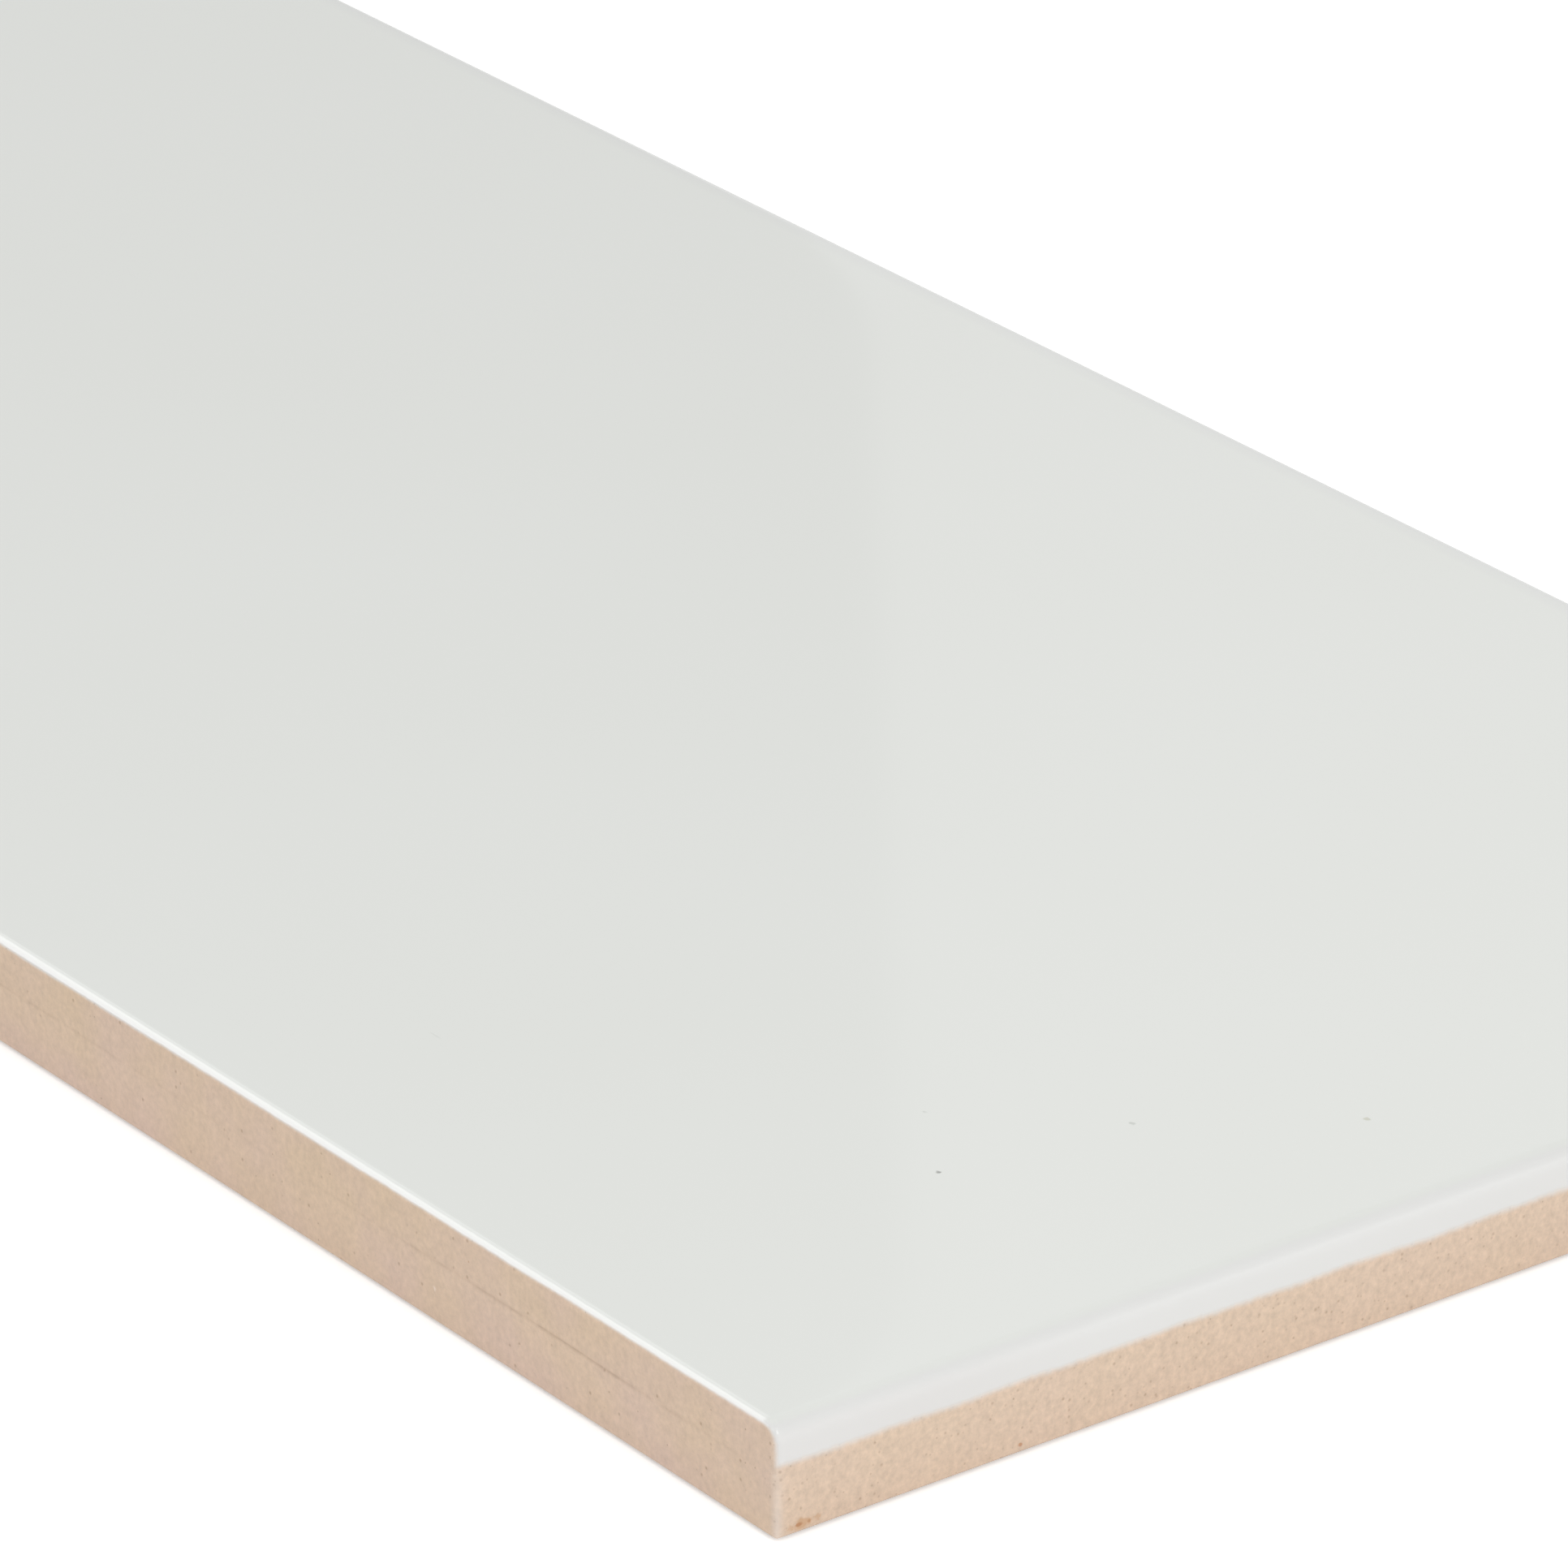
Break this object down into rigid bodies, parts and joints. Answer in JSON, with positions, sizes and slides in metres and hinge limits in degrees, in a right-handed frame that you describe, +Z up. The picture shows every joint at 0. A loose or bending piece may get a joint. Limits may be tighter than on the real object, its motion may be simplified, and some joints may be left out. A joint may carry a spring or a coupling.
{
  "type": "ceramic wall tile",
  "caption": "Flat rectangular wall tile of pressed earthenware with a glossy white glazed face, cushioned short ends, tight long edges and a keyed back",
  "frame": {"origin": "centre of the back, on the floor that the tile lies on", "axes": "+X along the long edges, +Y across the tile, +Z up out of the glazed face"},
  "size_m": [0.3, 0.1, 0.0065],
  "materials": {
    "tile": "gloss off-white glaze on the face and over the short ends, bare peach-coloured biscuit on the edges and back"
  },
  "bodies": {
    "root": {"tile": "tile"}
  },
  "joints": []
}
